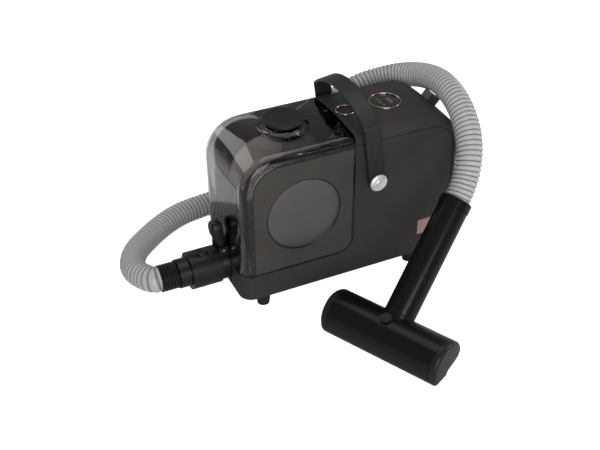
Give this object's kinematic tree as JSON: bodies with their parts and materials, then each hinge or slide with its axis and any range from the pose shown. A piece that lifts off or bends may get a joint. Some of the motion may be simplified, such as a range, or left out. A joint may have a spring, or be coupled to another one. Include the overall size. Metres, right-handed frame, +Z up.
{
  "type": "portable carpet cleaner",
  "caption": "Slim portable carpet and upholstery cleaner: dark L-shaped body, smoked lift-off tank, strap handle, ribbed suction hose, wand with a wide brush head.",
  "frame": {"origin": "on the floor, under the middle of the body's length and width", "axes": "+X along the body from the tank end towards the rear, +Y towards the side away from the wand, +Z up"},
  "size_m": [0.4889, 0.5035, 0.2816],
  "materials": {
    "shell_plastic": "fine satin moulded texture",
    "trim_plastic": "satin",
    "inner_plastic": "moulded, uncoated",
    "smoked_clear": "smoked transparent plastic",
    "milky_clear": "translucent",
    "panel_plastic": "semi-gloss",
    "satin_metal": "satin plated",
    "display_glass": "dark glass face",
    "rubber_black": "matt",
    "seal_rubber": "matt",
    "strap_plastic": "satin",
    "motor_steel": "as cast",
    "steel": "zinc plated",
    "board_green": "lacquered",
    "float_orange": "moulded",
    "hose_grey": "translucent grey",
    "wand_gloss": "gloss",
    "label_pink": "printed film, blank",
    "bristle": "nylon tufts",
    "trim_gloss": "gloss"
  },
  "bodies": {
    "root": {"main_shell": "shell_plastic", "bottom_plate": "inner_plastic", "rubber_feet": "rubber_black", "foot_screws": "steel", "top_cover": "shell_plastic", "display_ring": "satin_metal", "display_glass": "display_glass", "button_ring": "satin_metal", "control_board": "board_green", "board_posts": "inner_plastic", "rear_grille": "trim_plastic", "hose_cradle": "trim_plastic", "power_inlet": "trim_plastic", "power_supply": "inner_plastic", "rating_label": "label_pink", "handle_pins": "steel", "handle_spacers": "rubber_black", "handle_domes": "satin_metal", "suction_motor": "motor_steel", "motor_mounts": "rubber_black", "motor_cradle": "inner_plastic", "fan_cover": "inner_plastic", "air_duct": "inner_plastic", "dock_gasket": "seal_rubber", "water_pump": "inner_plastic", "pump_tube": "milky_clear", "hose_port": "trim_plastic", "inlet_duct": "inner_plastic", "latch_bracket": "trim_plastic", "latch_pin": "steel", "hose_sleeve": "trim_plastic", "strain_bellows": "rubber_black", "suction_hose": "hose_grey", "wand_grip": "wand_gloss", "wand_tube": "wand_gloss", "head_shell": "wand_gloss", "head_caps": "wand_gloss", "suction_lip": "rubber_black", "brush_strip": "bristle", "spray_nozzle": "trim_plastic"},
    "handle": {"carry_strap": "strap_plastic"},
    "tank": {"tank_shell": "smoked_clear", "divider_wall": "smoked_clear", "near_panel": "panel_plastic", "far_panel": "panel_plastic", "panel_trims": "trim_gloss", "window_discs": "smoked_clear", "neck_collar": "smoked_clear", "cap_gasket": "seal_rubber", "float_cage": "inner_plastic", "inlet_box": "inner_plastic"},
    "fill_cap": {"fill_cap": "trim_plastic"},
    "float": {"float_ball": "float_orange"},
    "power_button": {"power_button": "trim_plastic"},
    "tank_latch": {"tank_latch": "trim_plastic"},
    "swivel_cuff": {"swivel_cuff": "trim_plastic"},
    "cuff_button": {"cuff_button": "trim_plastic"},
    "wand_collar": {"wand_collar": "trim_plastic"},
    "fan": {"impeller": "motor_steel", "motor_shaft": "steel"}
  },
  "joints": [
    {"name": "handle_swing", "type": "hinge", "parent": "root", "child": "handle", "pos_m": [0.0305, 0, 0.164], "axis": [0, 1, 0], "range_deg": [-25, 41]},
    {"name": "tank_lift", "type": "slide", "parent": "root", "child": "tank", "axis": [0, 0, 1], "range_m": [0, 0.12]},
    {"name": "cap_turn", "type": "hinge", "parent": "tank", "child": "fill_cap", "pos_m": [-0.075, 0, 0.246], "axis": [0, 0, 1], "range_deg": [0, 90]},
    {"name": "float_rise", "type": "slide", "parent": "tank", "child": "float", "axis": [0, 0, 1], "range_m": [0, 0.026]},
    {"name": "button_press", "type": "slide", "parent": "root", "child": "power_button", "axis": [0, 0, -1], "range_m": [0, 0.0015], "stiffness_N_per_m": 800, "springref_m": -0.0005},
    {"name": "latch_pull", "type": "hinge", "parent": "root", "child": "tank_latch", "pos_m": [-0.172, 0, 0.074], "axis": [0, -1, 0], "range_deg": [0, 15], "stiffness_Nm_per_rad": 0.15, "springref_deg": -11.46},
    {"name": "cuff_turn", "type": "hinge", "parent": "root", "child": "swivel_cuff", "pos_m": [-0.2, 0, 0.045], "axis": [1, 0, 0], "continuous": true},
    {"name": "cuff_press", "type": "slide", "parent": "swivel_cuff", "child": "cuff_button", "axis": [0, 0, -1], "range_m": [0, 0.0012], "stiffness_N_per_m": 800, "springref_m": -0.0005},
    {"name": "collar_turn", "type": "hinge", "parent": "root", "child": "wand_collar", "pos_m": [0.10575, -0.14766, 0.15179], "axis": [0.6673, 0.34, 0.6626], "continuous": true},
    {"name": "fan_spin", "type": "hinge", "parent": "root", "child": "fan", "pos_m": [0.06, 0, 0.11], "axis": [1, 0, 0], "continuous": true}
  ]
}
